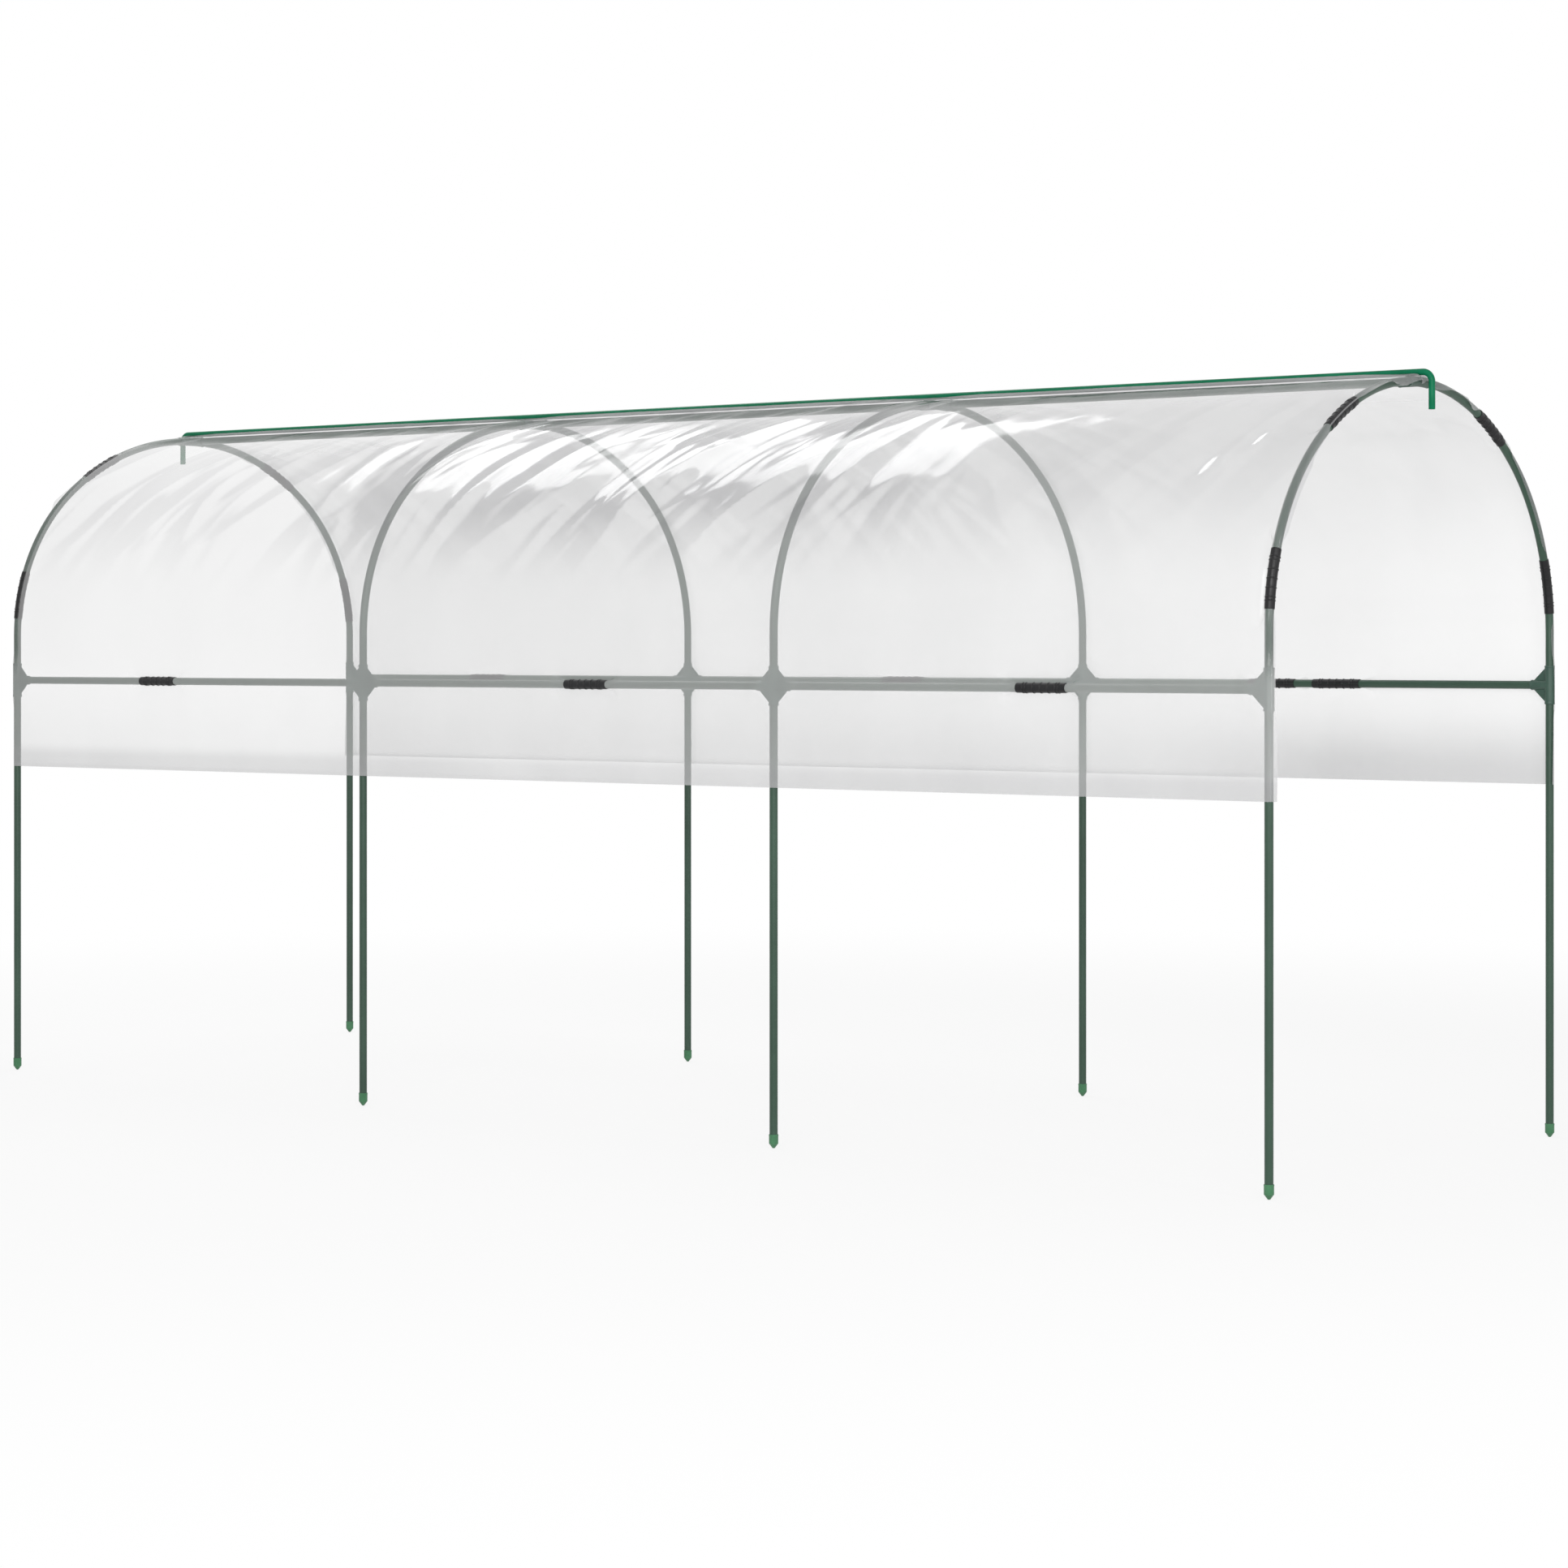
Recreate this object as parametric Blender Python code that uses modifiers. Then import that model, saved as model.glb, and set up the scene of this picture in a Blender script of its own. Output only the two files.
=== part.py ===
"""Tomato greenhouse: four push-fit tube hoops, side rails, a ridge, and a film cover with its clips and hold-down rod.

Metres, +Z up. X runs along the tunnel, Y across it, and the stake tips stand at Z = 0.
"""

import math

import bmesh
import bpy
from mathutils import Vector

# Layout of the frame
HOOPS = 4
BAY = 1.236
WIDTH = 1.206
RAIL_HEIGHT = 1.000
LEG_STRAIGHT = 1.113
SHOULDER_RADIUS = 0.480
SHOULDER_TURN = math.radians(50)

# Coated steel tube, and the gap that push-fit pieces keep
TUBE_RADIUS = 0.009
TUBE_WALL = 0.0008
GAP = 0.0003

# Pointed stake cap on each leg
CAP_LENGTH = 0.030
CAP_CONE = 0.010
CAP_WALL = 0.0009
CAP_TIP_RADIUS = 0.0025

# Ribbed sleeve, slit along the inside, that clips the film onto a tube
CLIP_LENGTH = 0.122
CLIP_WALL = 0.0012
CLIP_SLIT_TURN = 12
CLIP_ROOM = 0.0015
RIB_HEIGHT = 0.0011
RIB_HALF_WIDTH = 0.0016
RIB_PITCH = 0.0185
RIB_PAIR_PITCH = 0.007
LOW_CLIP_RISE = 0.218
HIGH_CLIP_OFFSET = 0.320
EARLY_CLIP, LATE_CLIP = 0.428, 0.566
FRONT_RAIL_CLIPS = ((EARLY_CLIP,), (LATE_CLIP,), (LATE_CLIP,))
BACK_RAIL_CLIPS = ((EARLY_CLIP,), (LATE_CLIP,), (EARLY_CLIP, LATE_CLIP))

# Moulded connector between a hoop and its rails or ridge
COLLAR_LENGTH = 0.086
COLLAR_WALL = 0.0017
ARM_REACH = 0.044
GUSSET_REACH = 0.026
GUSSET_THICKNESS = 0.004
SOCKET_FLOOR = 0.0037

# Film cover
FILM_BOTTOM = 0.780
FILM_PAST_HOOP = 0.012
FILM_THICKNESS = 0.0010
FOLD_HEIGHT = 0.011
FOLDS_PER_BAY = 2.5
FOLD_SLANT = 1.35
RIDGE_BAND = 0.10
FILM_COLUMNS_PER_BAY = 5

# Hold-down rod with a hook at each end
ROD_RADIUS = 0.007
ROD_BEND = 0.021
HOOK_DROP = 0.086

SIDES = 8
BEND_STEPS = 25
FILM_SKIRT_STEPS = 1
SLACK = 0.002

LENGTH = (HOOPS - 1) * BAY
BORE_RADIUS = TUBE_RADIUS + GAP / math.cos(math.pi / SIDES)
CLIP_RADIUS = BORE_RADIUS + CLIP_WALL
RIB_RADIUS = CLIP_RADIUS + RIB_HEIGHT
COLLAR_RADIUS = BORE_RADIUS + COLLAR_WALL
RAIL_INSET = BORE_RADIUS + SOCKET_FLOOR
CROWN_RADIUS = SHOULDER_RADIUS + (WIDTH / 2 - SHOULDER_RADIUS) / math.cos(SHOULDER_TURN)
CROWN_TURN = math.pi / 2 - SHOULDER_TURN
SHOULDER_END = LEG_STRAIGHT + SHOULDER_RADIUS * SHOULDER_TURN
HOOP_MIDDLE = SHOULDER_END + CROWN_RADIUS * CROWN_TURN
CROWN_CENTRE = LEG_STRAIGHT - (CROWN_RADIUS - SHOULDER_RADIUS) * math.sin(SHOULDER_TURN)
STEP_TURN = 2 * (HOOP_MIDDLE - LEG_STRAIGHT) / BEND_STEPS / SHOULDER_RADIUS
FILM_OFFSET = (COLLAR_RADIUS + GAP) / math.cos(STEP_TURN / 2)
HOOP_LETTERS = "abcdefgh"


def clear_start():
    for obj in list(bpy.data.objects):
        bpy.data.objects.remove(obj)


def material(name, colour, roughness, metallic=0.0, alpha=1.0):
    made = bpy.data.materials.new(name)
    made.use_nodes = True
    shader = made.node_tree.nodes["Principled BSDF"]
    shader.inputs["Base Color"].default_value = (*colour, 1.0)
    shader.inputs["Roughness"].default_value = roughness
    shader.inputs["Metallic"].default_value = metallic
    shader.inputs["Alpha"].default_value = alpha
    return made


def arch_point(distance, offset=0.0):
    """Point on the hoop's smooth centreline, this far along it from the front tip, moved out by offset."""
    along = min(distance, 2 * HOOP_MIDDLE - distance)
    if along <= LEG_STRAIGHT:
        y, z, turned = -WIDTH / 2, along, 0.0
    elif along <= SHOULDER_END:
        turned = (along - LEG_STRAIGHT) / SHOULDER_RADIUS
        y = -WIDTH / 2 + SHOULDER_RADIUS * (1 - math.cos(turned))
        z = LEG_STRAIGHT + SHOULDER_RADIUS * math.sin(turned)
    else:
        turned = SHOULDER_TURN + (along - SHOULDER_END) / CROWN_RADIUS
        y = -CROWN_RADIUS * math.cos(turned)
        z = CROWN_CENTRE + CROWN_RADIUS * math.sin(turned)
    y -= offset * math.cos(turned)
    z += offset * math.sin(turned)
    return Vector((0, y if distance <= HOOP_MIDDLE else -y, z))


def bend_stations():
    """Distances that cut the bent part of a hoop into equal steps."""
    step = 2 * (HOOP_MIDDLE - LEG_STRAIGHT) / BEND_STEPS
    return [LEG_STRAIGHT + i * step for i in range(BEND_STEPS + 1)]


def hoop_point(distance, offset=0.0):
    """Point on the hoop as it is built, in straight steps between its stations, moved out by offset."""
    stations = [0.0] + bend_stations() + [2 * HOOP_MIDDLE]
    after = next(i for i, station in enumerate(stations) if distance <= station or i == len(stations) - 1)
    first, last = stations[max(after - 1, 0)], stations[max(after, 1)]
    return arch_point(first, offset).lerp(arch_point(last, offset), (distance - first) / (last - first))


def hoop_distances(start, end):
    """Distances from start to end, with the stations between them."""
    between = [station for station in bend_stations() if start + GAP < station < end - GAP]
    return [start] + between + [end]


def hoop_path(start, end):
    return [hoop_point(distance) for distance in hoop_distances(start, end)]


def rail_point(distance):
    """Point on the front rail, this far from where it starts."""
    return Vector((distance, -WIDTH / 2, RAIL_HEIGHT))


def rail_ring(distance):
    """Centre of a ring round the front rail, with the directions out of the tunnel and across the rail."""
    return rail_point(distance), Vector((0, -1, 0)), Vector((0, 0, 1))


def hoop_ring(distance):
    """Centre of a ring round the hoop, with the directions out of the tunnel and across the hoop."""
    return hoop_point(distance), arch_point(distance, 1.0) - arch_point(distance), Vector((1, 0, 0))


def distance_at(height):
    """Distance along the hoop's front side at which it is this high."""
    bent = max(height - LEG_STRAIGHT, 0.0)
    return min(height, LEG_STRAIGHT) + SHOULDER_RADIUS * math.asin(bent / SHOULDER_RADIUS)


def curve_of(name, points, radius, scales=None, capped=False):
    """Round bar or tube along the points; scales makes its radius vary."""
    curve = bpy.data.curves.new(name, "CURVE")
    curve.dimensions = "3D"
    curve.bevel_depth = radius
    curve.bevel_resolution = (SIDES - 4) // 2
    curve.use_fill_caps = capped
    spline = curve.splines.new("POLY")
    spline.points.add(len(points) - 1)
    for point, place, scale in zip(spline.points, points, scales or [1.0] * len(points)):
        point.co = (*place, 1.0)
        point.radius = scale
    return curve


def place(name, data, shade, x=0.0, turned=False):
    """One node: the shape at x along the tunnel, turned half round for the far side or the far end."""
    obj = bpy.data.objects.new(name, data)
    if shade.name not in data.materials:
        data.materials.append(shade)
    obj.location.x = x
    obj.rotation_euler.z = math.pi if turned else 0.0
    collection.objects.link(obj)
    return obj


def place_tube(name, curve, shade, x=0.0, turned=False):
    """One node: a curve tube given its wall."""
    obj = place(name, curve, shade, x, turned)
    wall = obj.modifiers.new("Wall", "SOLIDIFY")
    wall.thickness = TUBE_WALL
    wall.offset = -1
    return obj


def solid(points, radii):
    """Helper mesh object: a closed round body along the points, with a radius at each."""
    curve = curve_of("Helper", points, radii[0], [radius / radii[0] for radius in radii], capped=True)
    helper = bpy.data.objects.new("Helper", curve)
    bpy.context.scene.collection.objects.link(helper)
    mesh = bpy.data.meshes.new_from_object(helper.evaluated_get(bpy.context.evaluated_depsgraph_get()))
    bpy.data.objects.remove(helper)
    shape = bmesh.new()
    shape.from_mesh(mesh)
    bmesh.ops.remove_doubles(shape, verts=shape.verts, dist=1e-6)
    bmesh.ops.recalc_face_normals(shape, faces=shape.faces)
    shape.to_mesh(mesh)
    shape.free()
    return helper_object(mesh)


def helper_object(mesh):
    helper = bpy.data.objects.new("Helper", mesh)
    bpy.context.scene.collection.objects.link(helper)
    return helper


def combine(body, joined=(), cut=()):
    """Mesh of the body with some helpers joined on and others cut away; the helpers go."""
    for operation, tools in (("UNION", joined), ("DIFFERENCE", cut)):
        for tool in tools:
            step = body.modifiers.new(operation, "BOOLEAN")
            step.operation = operation
            step.object = tool
            step.solver = "EXACT"
    mesh = bpy.data.meshes.new_from_object(body.evaluated_get(bpy.context.evaluated_depsgraph_get()))
    for helper in (body, *joined, *cut):
        bpy.data.objects.remove(helper)
    mesh.materials.clear()
    return mesh


def cap_mesh():
    """Pointed cap with the socket that a leg stands in."""
    body = solid([hoop_point(z) for z in (0, CAP_CONE, CAP_LENGTH)], [CAP_TIP_RADIUS] + [BORE_RADIUS + CAP_WALL] * 2)
    socket = [hoop_point(CAP_CONE), hoop_point(CAP_LENGTH + SLACK)]
    return combine(body, cut=[solid(socket, [BORE_RADIUS] * 2)])


def rib_stations():
    """Places along a clip, from its middle, and the clip's radius at each."""
    pair = 2 * RIB_PITCH
    centres = [-pair - RIB_PAIR_PITCH, -pair, -RIB_PITCH, 0.0, RIB_PITCH, pair, pair + RIB_PAIR_PITCH]
    stations = [(-CLIP_LENGTH / 2, CLIP_RADIUS)]
    for centre in centres:
        stations += [
            (centre - RIB_HALF_WIDTH, CLIP_RADIUS),
            (centre, RIB_RADIUS),
            (centre + RIB_HALF_WIDTH, CLIP_RADIUS),
        ]
    return stations + [(CLIP_LENGTH / 2, CLIP_RADIUS)]


def clip_mesh(ring_at, middle, bends):
    """Ribbed sleeve, slit towards the inside of the tunnel; its bore turns at the distances in bends."""
    shape = bmesh.new()
    lip = 180 - CLIP_SLIT_TURN
    turns = [math.radians(turn) for turn in (-lip, *range(-135, 136, 45), lip)]

    def ring(distance, radius):
        centre, out, across = ring_at(distance)
        return [shape.verts.new(centre + radius * (out * math.cos(turn) + across * math.sin(turn))) for turn in turns]

    def join(first, second):
        for i in range(len(turns) - 1):
            shape.faces.new([first[i], first[i + 1], second[i + 1], second[i]])

    places = [middle + along for along, _ in rib_stations()]
    outer = [ring(middle + along, radius) for along, radius in rib_stations()]
    inner = [ring(distance, BORE_RADIUS / math.cos(STEP_TURN / 2)) for distance in bends]
    for rings in (outer, inner):
        for first, second in zip(rings, rings[1:]):
            join(first, second)
    join(outer[0], inner[0])
    join(outer[-1], inner[-1])
    for edge in (0, -1):
        i = j = 0
        while i < len(outer) - 1 or j < len(inner) - 1:
            corner = [outer[i][edge], inner[j][edge]]
            if j == len(inner) - 1 or (i < len(outer) - 1 and places[i + 1] <= bends[j + 1]):
                i += 1
                shape.faces.new(corner + [outer[i][edge]])
            else:
                j += 1
                shape.faces.new(corner + [inner[j][edge]])
    bmesh.ops.recalc_face_normals(shape, faces=shape.faces)
    mesh = bpy.data.meshes.new("film_clip")
    shape.to_mesh(mesh)
    shape.free()
    return mesh


def web_plate(corner, up, sides):
    """Flat plate whose slanting edges are the webs between the collar and the arm on each side."""
    reach = COLLAR_RADIUS + GUSSET_REACH
    half = [(COLLAR_RADIUS, reach), (reach, COLLAR_RADIUS), (reach, -COLLAR_RADIUS), (COLLAR_RADIUS, -reach)]
    outline = [(side * across, side * rise) for side in sides for across, rise in half]
    if len(sides) == 1:
        outline += [(0, -sides[0] * reach), (0, sides[0] * reach)]
    shape = bmesh.new()
    corners = [shape.verts.new(corner + Vector((across, 0, 0)) + up * rise) for across, rise in outline]
    face = shape.faces.new(corners)
    bmesh.ops.recalc_face_normals(shape, faces=shape.faces)
    bmesh.ops.translate(shape, verts=shape.verts, vec=-face.normal * GUSSET_THICKNESS / 2)
    grown = bmesh.ops.extrude_face_region(shape, geom=[face], use_keep_orig=True)
    lifted = [part for part in grown["geom"] if isinstance(part, bmesh.types.BMVert)]
    bmesh.ops.translate(shape, verts=lifted, vec=face.normal * GUSSET_THICKNESS)
    bmesh.ops.recalc_face_normals(shape, faces=shape.faces)
    mesh = bpy.data.meshes.new("Helper")
    shape.to_mesh(mesh)
    shape.free()
    return helper_object(mesh)


def connector_mesh(middle, sides):
    """Moulded T or cross: a collar round the hoop at this distance, with an arm and two webs on each side."""
    reach = COLLAR_LENGTH / 2
    collar = hoop_path(middle - reach, middle + reach)
    bore = hoop_path(middle - reach - SLACK, middle + reach + SLACK)
    corner = hoop_point(middle)
    up = (hoop_point(middle + SLACK) - hoop_point(middle - SLACK)).normalized()
    out = Vector((1, 0, 0))
    near = -ARM_REACH if -1 in sides else -TUBE_RADIUS
    far = ARM_REACH if 1 in sides else TUBE_RADIUS
    arms = solid([corner + out * near, corner + out * far], [COLLAR_RADIUS] * 2)
    joined = [arms, web_plate(corner, up, sides)]
    cut = [solid(bore, [BORE_RADIUS] * len(bore))]
    for side in sides:
        socket = [corner + out * side * (RAIL_INSET - GAP), corner + out * side * (ARM_REACH + SLACK)]
        cut.append(solid(socket, [BORE_RADIUS] * 2))
    return combine(solid(collar, [COLLAR_RADIUS] * len(collar)), joined, cut)


def hoop_x(hoop):
    return (hoop - (HOOPS - 1) / 2) * BAY


def hoop_clips():
    """Distance along the hoop of each clip on its front side."""
    low = distance_at(RAIL_HEIGHT + LOW_CLIP_RISE)
    high = HOOP_MIDDLE - CROWN_RADIUS * math.asin(HIGH_CLIP_OFFSET / CROWN_RADIUS)
    return {"low": low, "high": high}


def film_slots():
    """Rectangles left out of the film, along X and along the hoop, where the clips sit."""
    along, across = CLIP_LENGTH / 2 + CLIP_ROOM, RIB_RADIUS + CLIP_ROOM
    slots = []
    for distance in hoop_clips().values():
        for middle in (distance, 2 * HOOP_MIDDLE - distance):
            for end in (-LENGTH / 2, LENGTH / 2):
                slots.append((end - across, end + across, middle - along, middle + along))
    for clips, middle in ((FRONT_RAIL_CLIPS, RAIL_HEIGHT), (BACK_RAIL_CLIPS, 2 * HOOP_MIDDLE - RAIL_HEIGHT)):
        for bay, shares in enumerate(clips):
            for share in shares:
                x = hoop_x(bay) + share * BAY
                slots.append((x - along, x + along, middle - across, middle + across))
    return slots


def spaced(places):
    """The places in order, without any that nearly repeats the one before it."""
    kept = []
    for place_ in sorted(places):
        if not kept or place_ - kept[-1] > GAP:
            kept.append(place_)
    return kept


def fold_height(x, along):
    """How far the film stands out in its slanting folds; none over the hoops or along the ridge."""
    bay = (x + LENGTH / 2) / BAY
    between = math.sin(math.pi * min(max(bay, 0), HOOPS - 1)) ** 2
    from_ridge = abs(along - HOOP_MIDDLE)
    clear = min(max(from_ridge / RIDGE_BAND - 1, 0), 1)
    phase = 2 * math.pi * FOLDS_PER_BAY * (bay + FOLD_SLANT * from_ridge / BAY)
    return FOLD_HEIGHT * between * clear * (0.5 + 0.5 * math.sin(phase))


def film_mesh():
    """Film from one bottom edge over the hoops to the other, as an open sheet with its folds and slots."""
    edge = LENGTH / 2 + FILM_PAST_HOOP
    slots = film_slots()
    skirt = [FILM_BOTTOM + (LEG_STRAIGHT - FILM_BOTTOM) * i / FILM_SKIRT_STEPS for i in range(FILM_SKIRT_STEPS)]
    rows = skirt + bend_stations() + [2 * HOOP_MIDDLE - along for along in skirt]
    rows = spaced(rows + [row for slot in slots for row in slot[2:]])
    steps = FILM_COLUMNS_PER_BAY * (HOOPS - 1)
    columns = [edge * (2 * i / steps - 1) for i in range(steps + 1)]
    columns = spaced(columns + [x for slot in slots for x in slot[:2] if abs(x) < edge - GAP])
    shape = bmesh.new()
    grid = {}
    for x in columns:
        for along in rows:
            point = hoop_point(along, FILM_OFFSET + fold_height(x, along))
            grid[x, along] = shape.verts.new((x, point.y, point.z))
    for left, right in zip(columns, columns[1:]):
        for low, high in zip(rows, rows[1:]):
            x, along = (left + right) / 2, (low + high) / 2
            if not any(slot[0] < x < slot[1] and slot[2] < along < slot[3] for slot in slots):
                shape.faces.new([grid[left, low], grid[right, low], grid[right, high], grid[left, high]])
    bmesh.ops.delete(shape, geom=[vert for vert in shape.verts if not vert.link_faces], context="VERTS")
    mesh = bpy.data.meshes.new("film_cover")
    shape.to_mesh(mesh)
    shape.free()
    return mesh


def rod_path():
    """Centreline of the hold-down rod: along the ridge, then down in a hook past each end hoop."""
    top = hoop_point(HOOP_MIDDLE).z + COLLAR_RADIUS + FILM_THICKNESS + 2 * GAP + ROD_RADIUS
    end = LENGTH / 2 + FILM_PAST_HOOP + ROD_BEND
    corner = Vector((end - ROD_BEND, 0, top - ROD_BEND))
    turns = [math.pi / 2 * i / 5 for i in range(6)]
    half = [corner + ROD_BEND * Vector((math.sin(turn), 0, math.cos(turn))) for turn in turns]
    half.append(Vector((end, 0, top + ROD_RADIUS - HOOK_DROP)))
    mirrored = [Vector((-point.x, point.y, point.z)) for point in reversed(half)]
    return mirrored + half


def build_hoops():
    leg = curve_of("leg", hoop_path(CAP_CONE + GAP, RAIL_HEIGHT - GAP / 2), TUBE_RADIUS)
    bow_span = (RAIL_HEIGHT + GAP / 2, 2 * HOOP_MIDDLE - RAIL_HEIGHT - GAP / 2)
    bow = curve_of("bow", hoop_path(*bow_span), TUBE_RADIUS)
    cap = cap_mesh()
    for hoop in range(HOOPS):
        x, letter = hoop_x(hoop), HOOP_LETTERS[hoop]
        place_tube(f"bow_tube_{letter}", bow, COATED_STEEL, x)
        for side, turned in (("front", False), ("back", True)):
            place_tube(f"leg_{letter}_{side}", leg, COATED_STEEL, x, turned)
            place(f"leg_cap_{letter}_{side}", cap, CAP_PLASTIC, x, turned)


def build_connectors():
    for kind, middle in (("rail", RAIL_HEIGHT), ("ridge", HOOP_MIDDLE)):
        tee, cross = connector_mesh(middle, (1,)), connector_mesh(middle, (1, -1))
        far_tee = connector_mesh(middle, (-1,))
        for hoop in range(HOOPS):
            x, letter = hoop_x(hoop), HOOP_LETTERS[hoop]
            shapes = {0: (tee, far_tee), HOOPS - 1: (far_tee, tee)}.get(hoop, (cross, cross))
            if kind == "ridge":
                place(f"ridge_connector_{letter}", shapes[0], MOULDED_PLASTIC, x)
                continue
            place(f"rail_connector_{letter}_front", shapes[0], MOULDED_PLASTIC, x)
            place(f"rail_connector_{letter}_back", shapes[1], MOULDED_PLASTIC, x, turned=True)


def build_rails():
    rail = curve_of("rail", [rail_point(RAIL_INSET), rail_point(BAY - RAIL_INSET)], TUBE_RADIUS)
    for bay in range(HOOPS - 1):
        letters = HOOP_LETTERS[bay] + HOOP_LETTERS[bay + 1]
        place_tube(f"rail_tube_{letters}_front", rail, COATED_STEEL, hoop_x(bay))
        place_tube(f"rail_tube_{letters}_back", rail, COATED_STEEL, hoop_x(bay + 1), turned=True)


def build_clips():
    half = CLIP_LENGTH / 2
    for height, distance in hoop_clips().items():
        clip = clip_mesh(hoop_ring, distance, hoop_distances(distance - half, distance + half))
        for hoop in (0, HOOPS - 1):
            for side, turned in (("front", False), ("back", True)):
                name = f"film_clip_{HOOP_LETTERS[hoop]}_{side}_{height}"
                place(name, clip, BLACK_PLASTIC, hoop_x(hoop), turned)
    clip = clip_mesh(rail_ring, 0.0, (-half, half))
    for side, clips in (("front", FRONT_RAIL_CLIPS), ("back", BACK_RAIL_CLIPS)):
        for bay, shares in enumerate(clips):
            letters = HOOP_LETTERS[bay] + HOOP_LETTERS[bay + 1]
            for number, share in enumerate(shares, 1):
                name = f"film_clip_{letters}_{side}_{number}"
                place(name, clip, BLACK_PLASTIC, hoop_x(bay) + share * BAY, turned=side == "back")


def build_ridge():
    top = hoop_point(HOOP_MIDDLE).z
    curve = curve_of("ridge", [Vector((x, 0, top)) for x in (RAIL_INSET, BAY - RAIL_INSET)], TUBE_RADIUS)
    for bay in range(HOOPS - 1):
        letters = HOOP_LETTERS[bay] + HOOP_LETTERS[bay + 1]
        place_tube(f"ridge_tube_{letters}", curve, COATED_STEEL, hoop_x(bay))


def build_cover():
    film = place("film_cover", film_mesh(), FILM)
    thickness = film.modifiers.new("Thickness", "SOLIDIFY")
    thickness.thickness = FILM_THICKNESS
    thickness.offset = 1
    pivot = bpy.data.objects.new("hold_down_rod_slide", None)
    pivot.location.z = rod_path()[len(rod_path()) // 2].z
    collection.objects.link(pivot)
    points = [point - pivot.location for point in rod_path()]
    rod = place("hold_down_rod", curve_of("rod", points, ROD_RADIUS, capped=True), ROD_GREEN)
    rod.parent = pivot


clear_start()
collection = bpy.data.collections.new("tomato_greenhouse")
bpy.context.scene.collection.children.link(collection)
COATED_STEEL = material("coated_steel_green", (0.030, 0.075, 0.052), 0.38)
MOULDED_PLASTIC = material("moulded_plastic_green", (0.034, 0.082, 0.058), 0.45)
CAP_PLASTIC = material("cap_plastic_green", (0.065, 0.240, 0.122), 0.42)
BLACK_PLASTIC = material("clip_plastic_black", (0.012, 0.012, 0.013), 0.40)
ROD_GREEN = material("rod_green", (0.004, 0.170, 0.080), 0.35)
FILM = material("film_translucent", (0.80, 0.80, 0.80), 0.25, alpha=0.5)
build_hoops()
build_connectors()
build_rails()
build_ridge()
build_cover()
build_clips()
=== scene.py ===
"""Looks of the tomato greenhouse: round tubes, moulded fittings and a creased clear film."""

import math

import bmesh
import bpy
from mathutils import Matrix, Vector, noise


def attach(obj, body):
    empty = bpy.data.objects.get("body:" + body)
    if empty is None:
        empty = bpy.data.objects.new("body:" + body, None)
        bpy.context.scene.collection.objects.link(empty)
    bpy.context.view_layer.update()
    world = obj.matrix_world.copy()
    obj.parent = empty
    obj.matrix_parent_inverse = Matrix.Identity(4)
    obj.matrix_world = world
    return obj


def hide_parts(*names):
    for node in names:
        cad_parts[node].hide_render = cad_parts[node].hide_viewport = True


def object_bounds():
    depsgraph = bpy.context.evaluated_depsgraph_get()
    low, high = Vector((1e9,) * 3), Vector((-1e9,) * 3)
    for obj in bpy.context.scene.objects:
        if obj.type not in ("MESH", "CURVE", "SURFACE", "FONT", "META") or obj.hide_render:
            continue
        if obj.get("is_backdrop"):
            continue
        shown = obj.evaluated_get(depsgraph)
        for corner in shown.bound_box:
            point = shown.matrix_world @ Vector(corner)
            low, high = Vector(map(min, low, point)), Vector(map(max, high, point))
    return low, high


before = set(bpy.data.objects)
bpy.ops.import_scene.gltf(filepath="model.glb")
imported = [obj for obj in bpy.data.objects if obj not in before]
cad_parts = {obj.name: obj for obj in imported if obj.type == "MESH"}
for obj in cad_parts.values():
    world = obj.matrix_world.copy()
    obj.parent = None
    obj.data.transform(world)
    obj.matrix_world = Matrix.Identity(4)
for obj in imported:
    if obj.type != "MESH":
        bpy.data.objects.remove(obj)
cad_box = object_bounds()

# Sizes that part.py names, in metres
HOOPS = 4
BAY = 1.236
WIDTH = 1.206
RAIL_HEIGHT = 1.000
LEG_STRAIGHT = 1.113
SHOULDER_RADIUS = 0.480
SHOULDER_TURN = math.radians(50)
TUBE_RADIUS = 0.009
TUBE_WALL = 0.0008
GAP = 0.0003
CAP_LENGTH = 0.030
CAP_CONE = 0.010
CAP_TIP_RADIUS = 0.0025
CLIP_LENGTH = 0.122
RIB_HEIGHT = 0.0011
LOW_CLIP_RISE = 0.218
HIGH_CLIP_OFFSET = 0.320
EARLY_CLIP, LATE_CLIP = 0.428, 0.566
RAIL_CLIPS = {
    "front": ((EARLY_CLIP,), (LATE_CLIP,), (LATE_CLIP,)),
    "back": ((EARLY_CLIP,), (LATE_CLIP,), (EARLY_CLIP, LATE_CLIP)),
}
COLLAR_LENGTH = 0.086
ARM_REACH = 0.044
GUSSET_REACH = 0.026
GUSSET_THICKNESS = 0.004
FILM_BOTTOM = 0.780
ROD_RADIUS = 0.007
ROD_BEND = 0.021
HOOK_DROP = 0.086

# Sizes that part.py works out, rounded
CAP_RADIUS = 0.0102
CLIP_RADIUS = 0.0105
RIBS = (-0.044, -0.037, -0.0185, 0.0, 0.0185, 0.037, 0.044)
COLLAR_RADIUS = 0.0110
RAIL_INSET = 0.013
ROD_RISE = 0.0196
ROD_END = 0.033

# The sleeves as they look: a bore that holds the film, and half of the slit's width in degrees
CLIP_BORE = 0.00935
SLIT_TURN = 2.5

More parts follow.
